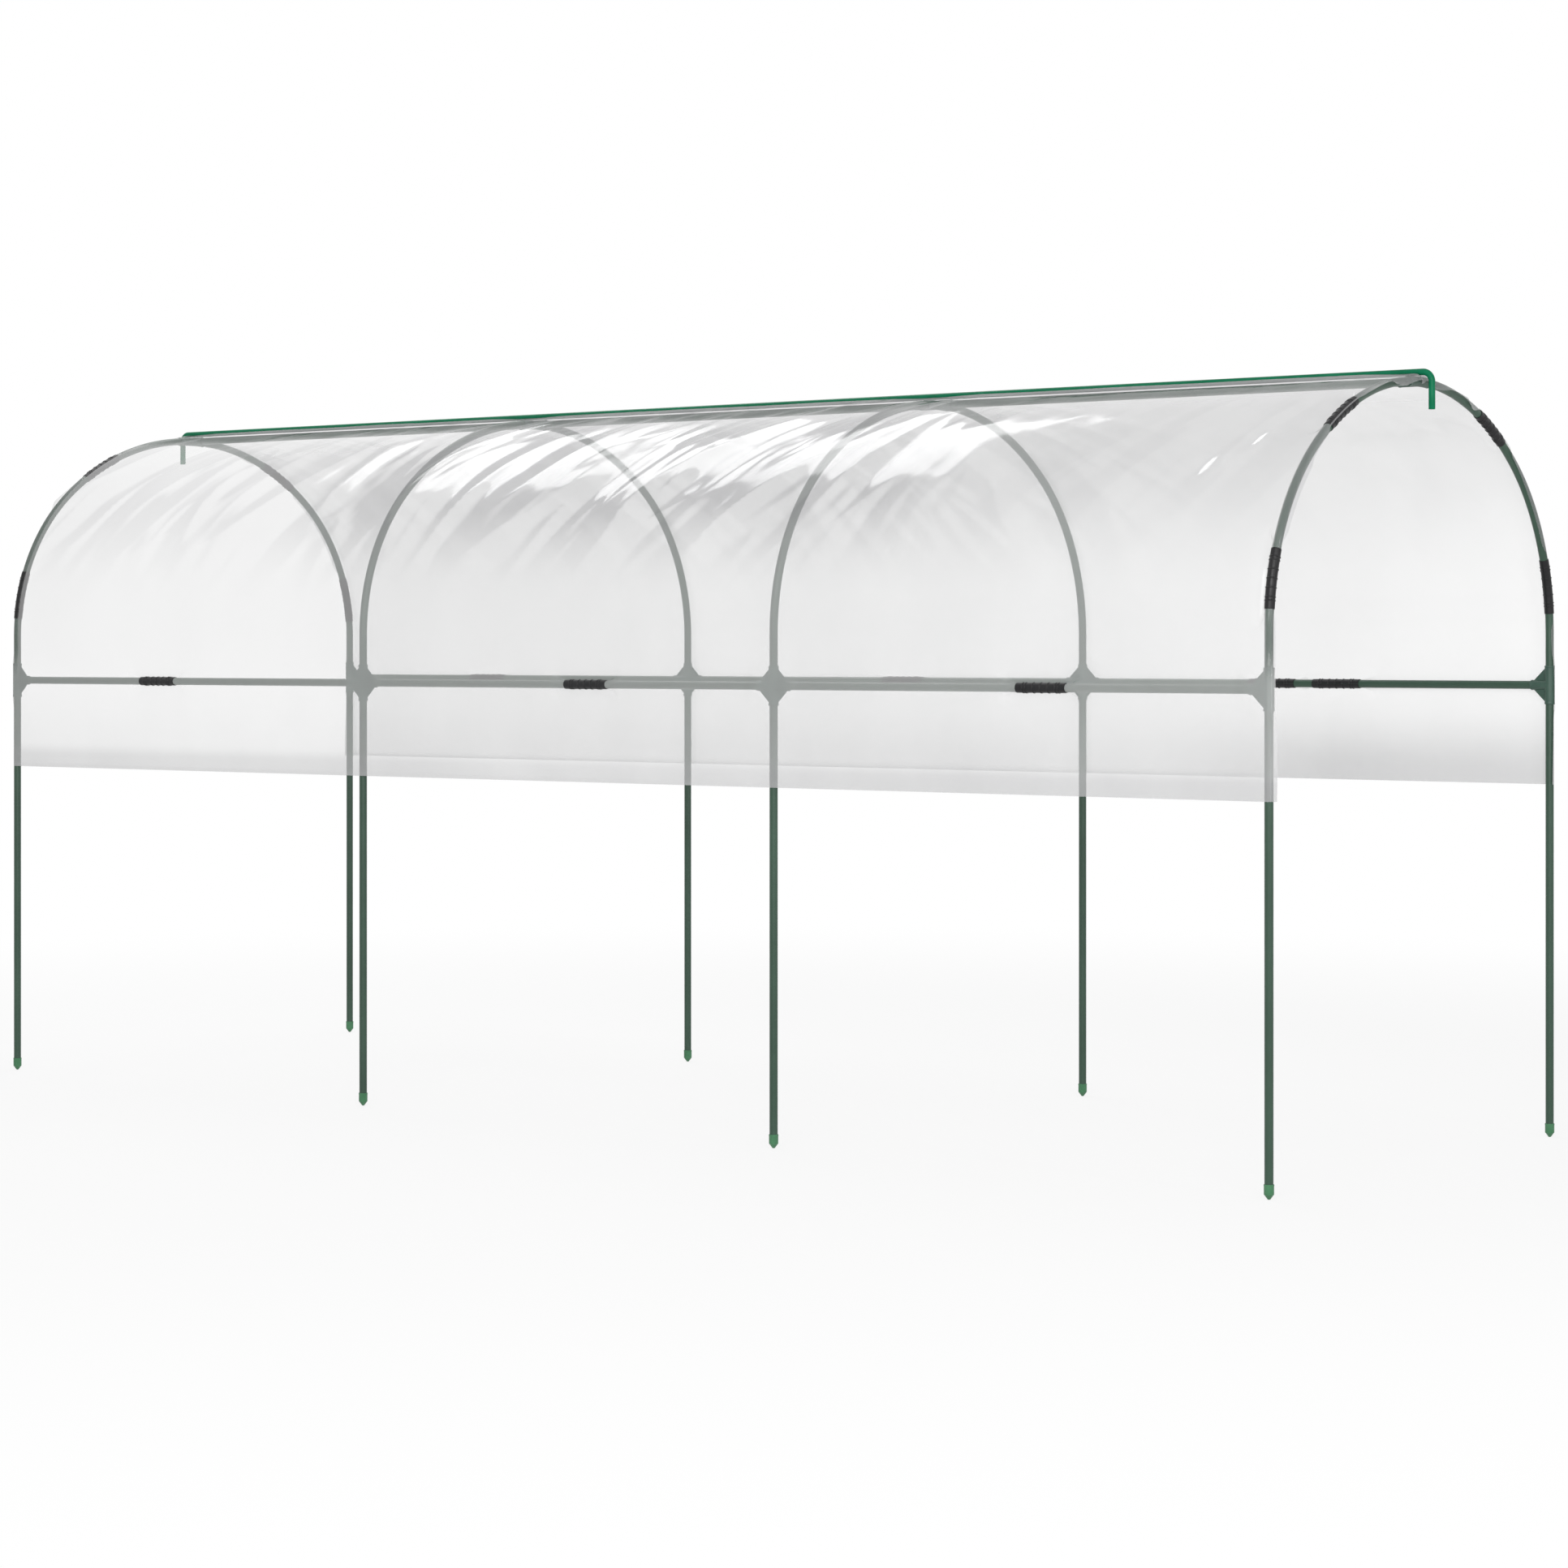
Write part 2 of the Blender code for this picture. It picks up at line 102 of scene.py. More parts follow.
LENGTH = (HOOPS - 1) * BAY
CROWN_RADIUS = SHOULDER_RADIUS + (WIDTH / 2 - SHOULDER_RADIUS) / math.cos(SHOULDER_TURN)
SHOULDER_END = LEG_STRAIGHT + SHOULDER_RADIUS * SHOULDER_TURN
HOOP_MIDDLE = SHOULDER_END + CROWN_RADIUS * (math.pi / 2 - SHOULDER_TURN)
CROWN_CENTRE = LEG_STRAIGHT - (CROWN_RADIUS - SHOULDER_RADIUS) * math.sin(SHOULDER_TURN)
HOOP_END = 2 * HOOP_MIDDLE
BORE_RADIUS = TUBE_RADIUS + GAP
LETTERS = "abcd"
X = Vector((1, 0, 0))
Y = Vector((0, 1, 0))
Z = Vector((0, 0, 1))


# Places on the frame. A distance along a hoop starts at its front tip.

def hoop_x(hoop):
    return (hoop - (HOOPS - 1) / 2) * BAY


def arch(distance):
    """Centre of the hoop at this distance, and the direction out of the tunnel there."""
    along = min(distance, HOOP_END - distance)
    if along <= LEG_STRAIGHT:
        y, z, turned = -WIDTH / 2, along, 0.0
    elif along <= SHOULDER_END:
        turned = (along - LEG_STRAIGHT) / SHOULDER_RADIUS
        y = -WIDTH / 2 + SHOULDER_RADIUS * (1 - math.cos(turned))
        z = LEG_STRAIGHT + SHOULDER_RADIUS * math.sin(turned)
    else:
        turned = SHOULDER_TURN + (along - SHOULDER_END) / CROWN_RADIUS
        y = -CROWN_RADIUS * math.cos(turned)
        z = CROWN_CENTRE + CROWN_RADIUS * math.sin(turned)
    side = 1 if distance <= HOOP_MIDDLE else -1
    return Vector((0, side * y, z)), Vector((0, -side * math.cos(turned), math.sin(turned)))


def distance_at(height):
    """Distance along the front of the hoop at which it is this high."""
    bent = max(height - LEG_STRAIGHT, 0.0)
    return min(height, LEG_STRAIGHT) + SHOULDER_RADIUS * math.asin(bent / SHOULDER_RADIUS)


LOW_CLIP = distance_at(RAIL_HEIGHT + LOW_CLIP_RISE)
HIGH_CLIP = HOOP_MIDDLE - CROWN_RADIUS * math.asin(HIGH_CLIP_OFFSET / CROWN_RADIUS)
HOOP_CLIPS = (LOW_CLIP, HIGH_CLIP, HOOP_END - HIGH_CLIP, HOOP_END - LOW_CLIP)
CLIP_PLACES = {
    side: [hoop_x(bay) + share * BAY for bay, shares in enumerate(clips) for share in shares]
    for side, clips in RAIL_CLIPS.items()
}


def steps(start, end, spacing):
    """Even places from start to end, at most this far apart."""
    count = max(int(math.ceil((end - start) / spacing)), 1)
    return [start + (end - start) * i / count for i in range(count + 1)]


def graded(marks):
    """Places from the first mark to the last; each mark is a place and the spacing after it."""
    spans = zip(marks, marks[1:])
    return [place for (start, spacing), (end, _) in spans for place in steps(start, end, spacing)]


# A station is a tube's centre, its direction outwards and the direction across both.

def hoop_station(distance, x=0.0):
    centre, out = arch(distance)
    return centre + X * x, out, X


def rail_station(x, side):
    y = {"front": -1, "back": 1}[side]
    return Vector((x, y * WIDTH / 2, RAIL_HEIGHT)), Vector((0, y, 0)), Z * -y


def ridge_station(x):
    centre, _ = arch(HOOP_MIDDLE)
    return centre + X * x, Z, Y


# Meshes

def linked(name, mesh):
    obj = bpy.data.objects.new(name, mesh)
    bpy.context.scene.collection.objects.link(obj)
    return obj


def mesh_of(name, verts, faces):
    mesh = bpy.data.meshes.new(name)
    mesh.from_pydata([tuple(vert) for vert in verts], [], faces)
    return mesh


def piece_of(name, mesh, shade, sharp=40):
    """Object of the mesh, smooth but for edges that turn by more than sharp degrees."""
    mesh.materials.clear()
    mesh.materials.append(shade)
    mesh.shade_smooth()
    if sharp:
        mesh.set_sharp_from_angle(angle=math.radians(sharp))
    return linked(name, mesh)


def piece(name, verts, faces, shade, sharp=40):
    mesh = mesh_of(name, verts, faces)
    mesh.update()
    return piece_of(name, mesh, shade, sharp)


def rings_of(stations, sides=32):
    """Rings of points round the stations, each with a radius as its last value."""
    turns = [2 * math.pi * i / sides for i in range(sides)]
    return [
        [centre + radius * (out * math.cos(turn) + across * math.sin(turn)) for turn in turns]
        for centre, out, across, radius in stations
    ]


def skin(rings, closed=False):
    """Points and faces of a body along its rings; closed joins the last ring to the first."""
    sides, last = len(rings[0]), len(rings) - 1
    verts = [point for ring in rings for point in ring]
    faces = []
    pairs = [(i, i + 1) for i in range(last)] + ([(last, 0)] if closed else [])
    for first, second in pairs:
        for i in range(sides):
            j = (i + 1) % sides
            quad = (first * sides + j, first * sides + i, second * sides + i, second * sides + j)
            faces.append(quad)
    if not closed:
        faces.append(tuple(range(sides)))
        faces.append(tuple(range(last * sides + sides - 1, last * sides - 1, -1)))
    return verts, faces


def tube(name, stations, shade):
    """Hollow tube along the stations, with its ends slightly rounded."""
    soften = 0.0003
    first, last = stations[0], stations[-1]
    forward = (stations[1][0] - first[0]).normalized() * soften
    back = (stations[-2][0] - last[0]).normalized() * soften
    outer = [(*first, TUBE_RADIUS - soften), (first[0] + forward, *first[1:], TUBE_RADIUS)]
    outer += [(*station, TUBE_RADIUS) for station in stations[1:-1]]
    outer += [(last[0] + back, *last[1:], TUBE_RADIUS), (*last, TUBE_RADIUS - soften)]
    inner = [(*station, TUBE_RADIUS - TUBE_WALL) for station in reversed(stations)]
    return piece(name, *skin(rings_of(outer + inner), closed=True), shade)


def bar(name, stations, shade, radii, sides=32, sharp=40):
    """Solid round bar with a radius at each station."""
    rings = rings_of([(*station, radius) for station, radius in zip(stations, radii)], sides)
    return piece(name, *skin(rings), shade, sharp)


# A sleeve's rib: half widths of its top and foot, and the shallow groove beside it
RIB_TOP, RIB_FOOT = 0.0007, 0.0013
RIB_GROOVE_WIDTH, RIB_GROOVE_DEPTH = 0.0008, 0.25
RIB_STEPS = (0.00025, 0.00055, 0.00085, 0.00115, 0.0015, 0.0019)

# A sleeve's two halves part at two turns round its tube, in degrees from straight out
SIDE_IN, SIDE_OUT = -90, 90
UPPER_IN, UPPER_OUT = -47, 47
PARTING_DEPTH = 0.0006
PARTING_STEPS = (-2.56, -1.6, 0, 1.6, 2.56)


def rib_profile(offset):
    """Height of a rib this far from its middle, 1 on its flat top and below 0 in the groove."""
    offset = abs(offset)
    if offset < RIB_TOP:
        return 1.0
    if offset < RIB_FOOT:
        return 1.0 - (offset - RIB_TOP) / (RIB_FOOT - RIB_TOP)
    return -RIB_GROOVE_DEPTH * math.sin(math.pi * min((offset - RIB_FOOT) / RIB_GROOVE_WIDTH, 1.0))


def clip_turns(partings):
    """Turns of a sleeve's section from one lip of its slit to the other, close at the partings."""
    lip = 180 - SLIT_TURN
    turns = [-lip, *range(-165, 0, 10), *range(5, 170, 10), lip]
    turns = [turn for turn in turns if min(abs(turn - parting) for parting in partings) > 4]
    return sorted(turns + [parting + step for parting in partings for step in PARTING_STEPS])


def clip_places():
    """Places of a sleeve's sections along it, close at the ribs and at its rounded ends."""
    half, edge = CLIP_LENGTH / 2, 0.0004
    places = set(steps(-half + 0.001, half - 0.001, 0.004))
    for rib in RIBS:
        places = {place for place in places if abs(place - rib) > 0.0024}
        places |= {rib + side * step for side in (-1, 1) for step in RIB_STEPS}
    return [-half, -half + edge, *sorted(places), half - edge, half]


def clip(name, station_at, shade, partings=(SIDE_IN, SIDE_OUT)):
    """Ribbed sleeve, slit along the inside, in two halves that close on the film."""
    turns, places = clip_turns(partings), clip_places()
    verts, faces = [], []
    for place in places:
        centre, out, across = station_at(place)
        height = RIB_HEIGHT * max(rib_profile(place - rib) for rib in RIBS)
        rounded = max(0.0004 - (CLIP_LENGTH / 2 - abs(place)), 0.0)
        radius = CLIP_RADIUS + height - rounded
        section = [(radius - (PARTING_DEPTH if turn in partings else 0.0), turn) for turn in turns]
        section += [(CLIP_BORE, turn) for turn in reversed(turns)]
        for reach, turn in section:
            turn = math.radians(turn)
            verts.append(centre + reach * (out * math.cos(turn) + across * math.sin(turn)))
    count, last = 2 * len(turns), len(places) - 1
    for row in range(last):
        here, there = row * count, (row + 1) * count
        for i in range(count):
            j = (i + 1) % count
            faces.append((here + i, here + j, there + j, there + i))
    for row, flip in ((0, 1), (last, -1)):
        for i in range(len(turns) - 1):
            corners = [row * count + k for k in (i, count - 1 - i, count - 2 - i, i + 1)]
            faces.append(tuple(corners[::flip]))
    return piece(name, verts, faces, shade, sharp=50)


def plate(outline, normal, thickness):
    """Points and faces of a flat plate with this outline."""
    verts = [corner + normal * side * thickness / 2 for side in (-1, 1) for corner in outline]
    count = len(outline)
    faces = [tuple(range(count))[::-1], tuple(range(count, 2 * count))]
    faces += [(i, (i + 1) % count, count + (i + 1) % count, count + i) for i in range(count)]
    return verts, faces


def helper(verts, faces):
    """Object for a modifier to work on, with its faces turned outwards."""
    mesh = mesh_of("helper", verts, faces)
    shape = bmesh.new()
    shape.from_mesh(mesh)
    bmesh.ops.recalc_face_normals(shape, faces=shape.faces)
    shape.to_mesh(mesh)
    shape.free()
    return linked("helper", mesh)


def applied(obj):
    """Mesh of the object after its modifiers; the object itself goes."""
    depsgraph = bpy.context.evaluated_depsgraph_get()
    mesh = bpy.data.meshes.new_from_object(obj.evaluated_get(depsgraph))
    bpy.data.objects.remove(obj)
    return mesh


def moulded(parts, cuts):
    """One moulded mesh: the parts melted together with small fillets, then the cuts bored in."""
    verts, faces = [], []
    for part_verts, part_faces in parts:
        faces += [tuple(len(verts) + i for i in face) for face in part_faces]
        verts += part_verts
    body = helper(verts, faces)
    melt = body.modifiers.new("Melt", "REMESH")
    melt.mode = "VOXEL"
    melt.voxel_size = 0.0008
    ease = body.modifiers.new("Ease", "SMOOTH")
    ease.factor = 0.5
    ease.iterations = 5
    body = linked("helper", applied(body))
    tools = [helper(*cut) for cut in cuts]
    for tool in tools:
        bore = body.modifiers.new("Bore", "BOOLEAN")
        bore.operation = "DIFFERENCE"
        bore.solver = "EXACT"
        bore.object = tool
    mesh = applied(body)
    for tool in tools:
        bpy.data.objects.remove(tool)
    return mesh


def connector(middle, sides):
    """Moulded T or cross round the hoop at this distance: collar, socket arms, rims and webs."""
    reach, rim, spacing = COLLAR_LENGTH / 2, 0.0040, 0.006
    body_radius, rim_radius = COLLAR_RADIUS - 0.0002, COLLAR_RADIUS + 0.0003
    corner, out = arch(middle)
    up = (arch(middle + 0.001)[0] - arch(middle - 0.001)[0]).normalized()
    across = out.cross(X)

    def along_hoop(places, radius):
        return skin(rings_of([(*hoop_station(middle + place), radius) for place in places], 48))

    def along_rail(places, radius):
        return skin(rings_of([(corner + X * place, out, across, radius) for place in places], 48))

    parts = [along_hoop(steps(-reach, reach, spacing), body_radius)]
    for end in (-1, 1):
        parts.append(along_hoop(sorted([end * reach, end * (reach - rim)]), rim_radius))
    arms = (-ARM_REACH if -1 in sides else 0.0, ARM_REACH if 1 in sides else 0.0)
    parts.append(along_rail(arms, body_radius))
    cuts = [along_hoop(steps(-reach - 0.003, reach + 0.003, spacing), BORE_RADIUS)]
    for side in sides:
        mouth = sorted([side * ARM_REACH, side * (ARM_REACH - rim)])
        parts.append(along_rail(mouth, rim_radius))
        socket = sorted([side * (RAIL_INSET - GAP), side * (ARM_REACH + 0.002)])
        cuts.append(along_rail(socket, BORE_RADIUS))
        web, inner, edge = COLLAR_RADIUS + GUSSET_REACH, COLLAR_RADIUS - 0.003, COLLAR_RADIUS
        outline = [(inner, inner), (web, inner), (web, edge), (edge, web), (inner, web)]
        for end in (-1, 1):
            corners = [corner + X * side * a + up * end * b for a, b in outline]
            parts.append(plate(corners, out, GUSSET_THICKNESS))
    return moulded(parts, cuts)


def moved(mesh, x, turned):
    """Copy of the mesh at x, first turned half round the upright axis if asked."""
    copy = mesh.copy()
    turn = Matrix.Rotation(math.pi if turned else 0.0, 4, "Z")
    copy.transform(Matrix.Translation((x, 0, 0)) @ turn)
    return copy


# Film. Its places are u along the tunnel and the distance along the hoops.

# How far past the end hoops the film reaches, and its radius on a bare tube under a sleeve,
# at a sleeve's rim and on the sleeve
FILM_WRAP = 0.0240
FILM_HUG, FILM_AT_RIM, OVER_CLIP = 0.00918, 0.0122, 0.0119

# How high the film lies over the hoops' centreline, on bare tube and on a connector
FILM_ON_TUBE, FILM_ON_CONNECTOR = 0.00925, 0.01185

# By the parting where the film goes in: how far from the tube's centre it leaves its course,
# is between the halves, and is on the tube
PINCH = {SIDE_IN: (0.058, 0.0245, 0.0205), UPPER_IN: (0.030, 0.0120, 0.0085)}
TUBE_ZONE = PINCH[SIDE_IN][0]

# Share of the film under a sleeve at which an edge that shows comes out again
LIP_START = 0.85

# Stretches of an end hoop on which the film's edge stands off, each a middle and a reach
LOOSE_EDGE = (
    (HIGH_CLIP - 0.130, 0.060),
    (HIGH_CLIP + 0.140, 0.070),
    (HOOP_END - HIGH_CLIP - 0.185, 0.060),
)

# How far the creases run along the tunnel for each metre up the hoop
CREASE_SLANT = 0.62

# Two bright facets at the near bay's front: their place along the tunnel, the distance down
# from the ridge, the half length, and the tilt towards a turn from +X, in degrees
FACETS = ((1.634, 0.519, 0.040, 13.5, 168), (1.720, 0.442, 0.038, 12.5, 174))
FACETS_START = 1.560
FACET_HALF_WIDTH = 0.021


def smooth(value):
    value = min(max(value, 0.0), 1.0)
    return value * value * (3 - 2 * value)


def noise_at(x, y, z):
    return noise.noise(Vector((x, y, z)))


def nearest_hoop(u):
    return min(abs(u - hoop_x(hoop)) for hoop in range(HOOPS))


def nearest_rail(along):
    return min(abs(along - RAIL_HEIGHT), abs(along - (HOOP_END - RAIL_HEIGHT)))


def crease(x, along):
    """Height of the slanting creases, about -1 to 1: long folds with sharp crests and crumples."""
    side = 1 if along <= HOOP_MIDDLE else -1
    height = along if side > 0 else HOOP_END - along
    size = math.hypot(1, CREASE_SLANT)
    drift = 0.055 * noise_at(x * 2.1, height * 2.1, 3.7 + side)
    across = (x * side - CREASE_SLANT * height) / size + drift
    run = (CREASE_SLANT * x * side + height) / size
    broad = noise_at(across / 0.21, run / 0.62, 11.3 + side)
    narrow = noise_at(across / 0.10, run / 0.36, 5.1 + side)
    crumple = noise_at(across / 0.048, run / 0.13, 2.9 + side)
    return 0.76 * (0.6 - 2.2 * abs(broad)) + 0.22 * (0.6 - 2.2 * abs(narrow)) + 0.14 * crumple


def faceted(x, along):
    """Height of the two short facets."""
    height = 0.0
    for place, down, half, tilt, towards in FACETS:
        aside, up = x - place, along - HOOP_MIDDLE + down
        if abs(aside) + abs(up) < 0.2:
            across, run = 0.77 * aside - 0.64 * up, 0.64 * aside + 0.77 * up
            towards = math.radians(towards)
            fall = aside * math.cos(towards) + up * math.sin(towards)
            fade = math.exp(-((across / FACET_HALF_WIDTH) ** 2) - (run / half) ** 2)
            height -= math.tan(math.radians(tilt)) * fall * fade
    return height


def creased(x, along):
    """How creased the film is, 0 to 1: most by the ridge in the far bays, least near hoop d."""
    down = abs(along - HOOP_MIDDLE)
    upper = 1 - smooth((down - 0.50) / 0.32)
    far = 1 - 0.85 * smooth((x - 0.70) / 0.42)
    near_end = 1 - 0.45 * smooth((-x - 0.60) / 0.5)
    return upper * far * near_end


def rest_height(x, along):
    """How high over the hoops' centreline the film lies on what is under it.

    The rod presses it down along the ridge, and it stands up on both sides of the rod.
    """
    hoop, rail = nearest_hoop(x), nearest_rail(along)
    collar = (1 - smooth((rail - 0.044) / 0.030)) * (1 - smooth((hoop - 0.012) / 0.040))
    arm = (1 - smooth((rail - 0.012) / 0.040)) * (1 - smooth((hoop - 0.045) / 0.030))
    ridge = abs(along - HOOP_MIDDLE)
    stir = 0.0012 * noise_at(x * 4.0, 1.7, 8.0)
    puff = 0.0098 + stir - 0.0030 * (1 - smooth((hoop - 0.02) / 0.12))
    pressed = (puff - 0.0027) * (1 - smooth((ridge - 0.002) / 0.0085))
    beside_rod = puff * (1 - smooth((ridge - 0.012) / 0.060)) - pressed
    return FILM_ON_TUBE + (FILM_ON_CONNECTOR - FILM_ON_TUBE) * max(collar, arm) + beside_rod


def film_height(x, along):
    """The film's height over the centreline, with its creases away from what holds it."""
    hoop, rail = nearest_hoop(x), nearest_rail(along)
    ridge = abs(along - HOOP_MIDDLE)
    beside = smooth((rail - 0.008) / 0.050) * smooth((ridge - 0.010) / 0.080)
    free = smooth((hoop - 0.006) / 0.060)
    inner = smooth((LENGTH / 2 - abs(x)) / 0.10)
    rise = (0.0012 + 0.0105 * creased(x, along)) * crease(x, along)
    between = math.sin(math.pi * (x + LENGTH / 2) / BAY) ** 2
    lift = free * (rise - 0.003 * between) + (1 - free) * inner * 0.7 * max(rise, 0.0)
    return rest_height(x, along) + beside * lift + faceted(x, along)


def under_clip(past, height, partings, last):
    """Radius and turn round a tube of the film under a sleeve, this far past the tube's centre.

    It goes in between the halves at the first parting and ends, at last, by the second one.
    At an upper parting its edge comes out again and lies on the sleeve.
    """
    enter, leave = partings
    start, mouth, inside = PINCH[enter]
    turned = math.radians(enter)
    if past < -mouth:
        share = max((past + start) / (start - mouth), 0.0)
        offset = -past
        if share:
            offset = start + (-FILM_AT_RIM * math.sin(turned) - start) * share
        rise = height + (FILM_AT_RIM * math.cos(turned) - height) * share * share
        return math.hypot(offset, rise), math.atan2(-offset, rise)
    if past < -inside:
        sunk = (past + mouth) / (mouth - inside)
        return FILM_AT_RIM + (FILM_HUG - FILM_AT_RIM) * sunk, turned
    share = (past + inside) / (last + inside)
    shows = leave == UPPER_OUT
    if not shows or share < LIP_START:
        whole = LIP_START if shows else 1.0
        return FILM_HUG, math.radians(enter + (leave - enter) * share / whole)
    lip = (share - LIP_START) / (1 - LIP_START)
    reach = FILM_HUG + (OVER_CLIP - FILM_HUG) * min(lip * 3, 1.0)
    return reach, math.radians(leave + 15 * max(lip - 0.34, 0.0) / 0.66)


def hoop_partings(end, high):
    """Partings of an end hoop's sleeve: end is -1 at hoop a and 1 at hoop d."""
    if end < 0:
        return UPPER_IN, SIDE_OUT
    return SIDE_IN, (UPPER_OUT if high else SIDE_OUT)


def clip_hold(along, middles):
    """1 where a clip holds the film, 0 well past its ends."""
    far = min(abs(along - middle) for middle in middles) - CLIP_LENGTH / 2
    return 1 - smooth((far - 0.002) / 0.040)


def held(loose, inside, hold):
    """Blend of two places round a tube, each a radius and a turn."""
    reach = math.exp((1 - hold) * math.log(loose[0]) + hold * math.log(inside[0]))
    return reach, (1 - hold) * loose[1] + hold * inside[1]


def cling(along, end):
    """How far round an end hoop the film's edge clings and how far it leans then, in radians."""
    loose = max(1 - smooth((abs(along - middle) - half / 2) / half) for middle, half in LOOSE_EDGE)
    turn = 1.55 if along < HOOP_MIDDLE else 1.80
    turn += 1.0 * noise_at(along * 4.3, 7.7 * end, 0.4) - 0.85 * loose
    turn += 0.8 * (1 - smooth((abs(along - HOOP_MIDDLE) - 0.012) / 0.030))
    turn = min(max(turn, 0.45), 2.3)
    return turn, turn - min(turn, 0.30) - 0.20 * loose


def round_end_hoop(u, along):
    """Radius and turn of the film round the nearest end hoop."""
    end = 1 if u > 0 else -1
    past = abs(u) - LENGTH / 2
    if past <= 0:
        height = film_height(u, along)
        place = math.hypot(past, height), math.atan2(past, height)
    else:
        height = rest_height(end * LENGTH / 2, along)
        last, lean = cling(along, end)
        place, free = (height, past / height), past - last * height
        if free > 0:
            sideways = height * math.sin(last) + free * math.cos(lean)
            outward = height * math.cos(last) - free * math.sin(lean)
            place = math.hypot(sideways, outward), math.atan2(sideways, outward)
    hold = clip_hold(along, HOOP_CLIPS)
    if hold > 0:
        high = abs(along - HOOP_MIDDLE) < HOOP_MIDDLE - (LOW_CLIP + HIGH_CLIP) / 2
        under = under_clip(past, height, hoop_partings(end, high), FILM_WRAP)
        place = held(place, under, hold)
    return place


def film_point(u, along):
    """Place of the film at u along the tunnel and this far along the hoop."""
    centre, out = arch(along)
    if abs(u) - LENGTH / 2 > -TUBE_ZONE:
        reach, turn = round_end_hoop(u, along)
        end = 1 if u > 0 else -1
        sideways = X * end * (LENGTH / 2 + reach * math.sin(turn))
        return centre + out * reach * math.cos(turn) + sideways
    side = "front" if along < HOOP_MIDDLE else "back"
    middle, up = (RAIL_HEIGHT, Z) if side == "front" else (HOOP_END - RAIL_HEIGHT, -Z)
    height = film_height(u, along)
    offset = along - middle
    hold = clip_hold(u, CLIP_PLACES[side])
    if hold > 0 and abs(offset) < TUBE_ZONE:
        radius, turn = under_clip(-abs(offset), height, (SIDE_IN, 0), 0.0)
        loose = math.hypot(offset, height), math.atan2(offset, height)
        reach, turn = held(loose, (radius, math.copysign(turn, offset)), hold)
        centre, out = arch(middle)
        return centre + X * u + out * reach * math.cos(turn) + up * reach * math.sin(turn)
    return centre + X * u + out * height


def film_lines():
    """Places of the film's columns along the tunnel and of its rows along the hoop."""
    edge, near = LENGTH / 2 + FILM_WRAP, 0.042
    close, usual = 0.0024, 0.009
    columns = graded([
        (-edge, close), (-LENGTH / 2 + near, usual), (FACETS_START, 0.005),
        (LENGTH / 2 - near, close), (edge, 0),
    ])
    rows = graded([
        (FILM_BOTTOM, usual), (RAIL_HEIGHT - near, close), (RAIL_HEIGHT + near, usual),
        (HOOP_MIDDLE - 0.640, 0.006), (HOOP_MIDDLE - 0.075, 0.003),
        (HOOP_MIDDLE - 0.018, 0.0012), (HOOP_MIDDLE, 0),
    ])
    rows += [HOOP_END - row for row in rows]
    return [sorted({round(place, 6) for place in places}) for places in (columns, rows)]


# The film's tones and painted shade, as attributes that its material reads

def fold_shade(u, along):
    """0 to 1: how far the film leans out of the light in its creases."""
    step = 0.006
    x = min(max(u, -LENGTH / 2), LENGTH / 2)
    slope = (crease(x + step, along) - crease(x - step, along)) / (2 * step)
    off_ridge = smooth((abs(along - HOOP_MIDDLE) - 0.08) / 0.17)
    # Painted shade: the flank of each crease that leans out of the light is darker and hazier in the
    # material.
    shade = smooth(0.5 + slope / 5) * creased(x, along) * off_ridge
    return shade * (1.0 if along < HOOP_MIDDLE else 0.45)


def painted_top_shade_and_hem(u, along):
    """How hazy and dark the film is, 0 and up: painted shade on its top, and darker towards its lower
    edge.
    """
    place = arch(along)[0].z
    # Painted shade: the top is darker and hazier, weaker towards hoop a and half as strong on the
    # back.
    top = smooth((place - 1.20) / 0.28) * (0.35 + 0.65 * smooth((u + 1.2) / 1.3))
    if along > HOOP_MIDDLE:
        top *= 0.5
    # Darker and hazier below the rail, more so in a band at the front's lower edge and towards hoop d
    # on the back.
    hem = smooth((RAIL_HEIGHT - place) / 0.22) * (0.60 + 0.55 * smooth((u + 0.2) / 1.8))
    if along < HOOP_MIDDLE:
        return top + hem + 1.1 * smooth((0.845 - place) / 0.035)
    return top + hem * (1 + 1.1 * smooth((u - 0.8) / 0.5))


def clarity_and_painted_highlight(u, along):
    """1 where the film lies stretched on the ridge tube and the end hoops, and looks clear. On the
    end hoops near the ridge it is cut back, a painted highlight that leaves the film lighter there.
    """
    off_ridge = abs(along - HOOP_MIDDLE)
    ridge = 1 - smooth((off_ridge - 0.16) / 0.06)
    over = 0.004 if u > 0 else 0.015
    above_rail = smooth((min(along, HOOP_END - along) - RAIL_HEIGHT) / 0.1)
    end = smooth((abs(u) - LENGTH / 2 + over) / 0.004) * above_rail
    # Painted highlight: near the ridge the film on the end hoops is made less clear, so it looks
    # lighter.
    end *= 0.30 + 0.70 * smooth((off_ridge - 0.22) / 0.10)
    return max(ridge, end)


def doubled(u, along):
    """1 where the film looks thicker: bunched beside the rod and cut at its edges."""
    side = 0.3 * smooth((abs(u) - LENGTH / 2 - 0.010) / 0.004)
    lower = 1 - smooth((min(along, HOOP_END - along) - FILM_BOTTOM - 0.004) / 0.006)
    rod = 1 - smooth((abs(along - HOOP_MIDDLE) - 0.018) / 0.012)
    return max(side, lower, rod)


FILM_SHADES = {"painted_crease_shade": fold_shade, "painted_top_shade_and_hem": painted_top_shade_and_hem, "clarity_and_painted_highlight": clarity_and_painted_highlight, "doubled": doubled}


